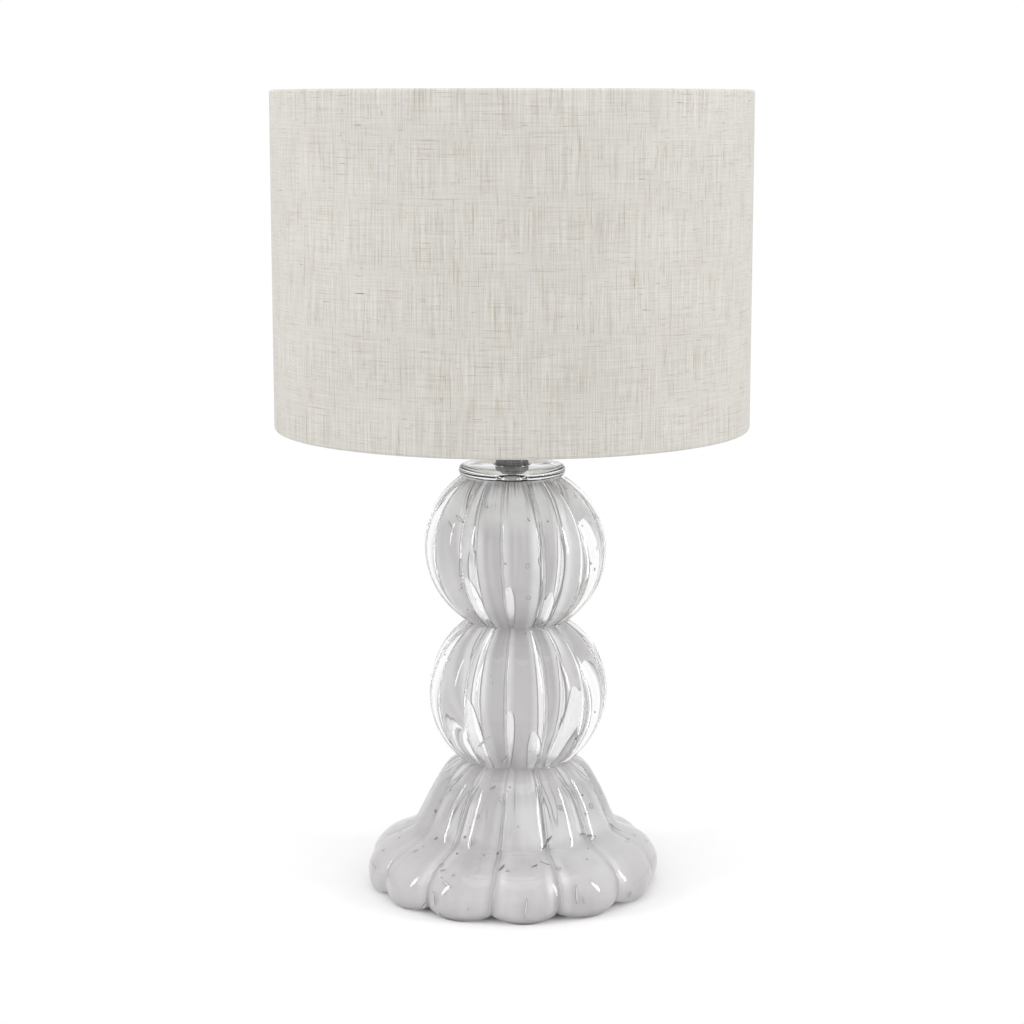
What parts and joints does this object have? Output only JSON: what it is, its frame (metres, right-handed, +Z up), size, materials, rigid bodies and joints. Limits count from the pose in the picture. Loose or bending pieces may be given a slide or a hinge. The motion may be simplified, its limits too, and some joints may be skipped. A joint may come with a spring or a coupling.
{
  "type": "table lamp",
  "caption": "Table lamp with a ribbed blown-glass body of two balls over a flared lobed skirt, a clear glass collar, a screw-in bulb and a straight drum shade in slubbed linen.",
  "frame": {"origin": "on the table, under the middle of the shade and the rod", "axes": "+Z up along the rod, the pictured front towards -Y, +X to its right"},
  "size_m": [0.3, 0.3, 0.5091],
  "materials": {
    "body_glass": "thick clear blown glass over a mottled milky inner layer, with seed bubbles",
    "collar_glass": "clear, polished",
    "dark_metal": "satin dark grey",
    "rod_steel": "zinc plated",
    "clamp_steel": "zinc plated",
    "gasket_rubber": "matte",
    "bush_plastic": "moulded",
    "contact_ceramic": "unglazed, fine",
    "contact_brass": "pressed",
    "socket_nickel": "nickel plated",
    "holder_plastic": "moulded, satin",
    "shade_linen": "slubbed linen weave, off white",
    "shade_backing": "translucent sheet",
    "shade_wire": "white powder coat",
    "bulb_opal": "opal white",
    "bulb_metal": "rolled thread",
    "bulb_black": "black glass insulator"
  },
  "bodies": {
    "base": {"glass_body": "body_glass", "glass_collar": "collar_glass", "neck_spacer": "dark_metal", "threaded_rod": "rod_steel", "foot_gasket": "gasket_rubber", "clamp_plate": "clamp_steel", "foot_washer": "clamp_steel", "foot_nut": "clamp_steel", "cord_bush": "bush_plastic", "holder_dome": "dark_metal", "holder_grub_screw": "clamp_steel", "holder_lock_nut": "clamp_steel", "contact_block": "contact_ceramic", "centre_contact": "contact_brass", "side_contact": "contact_brass", "terminal_screws": "contact_brass", "screw_socket": "socket_nickel", "holder_shell": "holder_plastic"},
    "shade": {"shade_cloth": "shade_linen", "shade_liner": "shade_backing", "shade_top_wire": "shade_wire", "shade_bottom_wire": "shade_wire", "shade_arms": "shade_wire", "shade_fitter": "shade_wire"},
    "shade_ring": {"shade_ring": "holder_plastic"},
    "bulb_lift": {"bulb_contact": "bulb_metal", "bulb_insulator": "bulb_black"},
    "bulb": {"bulb_cap": "bulb_metal", "bulb_globe": "bulb_opal"}
  },
  "joints": [
    {"name": "shade_turn", "type": "hinge", "parent": "base", "child": "shade", "pos_m": [0, 0, 0.315], "axis": [0, 0, 1], "continuous": true},
    {"name": "shade_ring_unscrew", "type": "hinge", "parent": "base", "child": "shade_ring", "pos_m": [0, 0, 0.32], "axis": [0, 0, 1], "range_deg": [0, 1080]},
    {"name": "bulb_lift", "type": "slide", "parent": "base", "child": "bulb_lift", "axis": [0, 0, 1], "range_m": [0, 0.0146]},
    {"name": "bulb_unscrew", "type": "hinge", "parent": "bulb_lift", "child": "bulb", "pos_m": [0, 0, 0.35], "axis": [0, 0, 1], "range_deg": [0, 1440]}
  ],
  "couplings": [
    {"joint": "bulb_lift", "follows": "bulb_unscrew", "m_per_rad": 0.00057757}
  ]
}
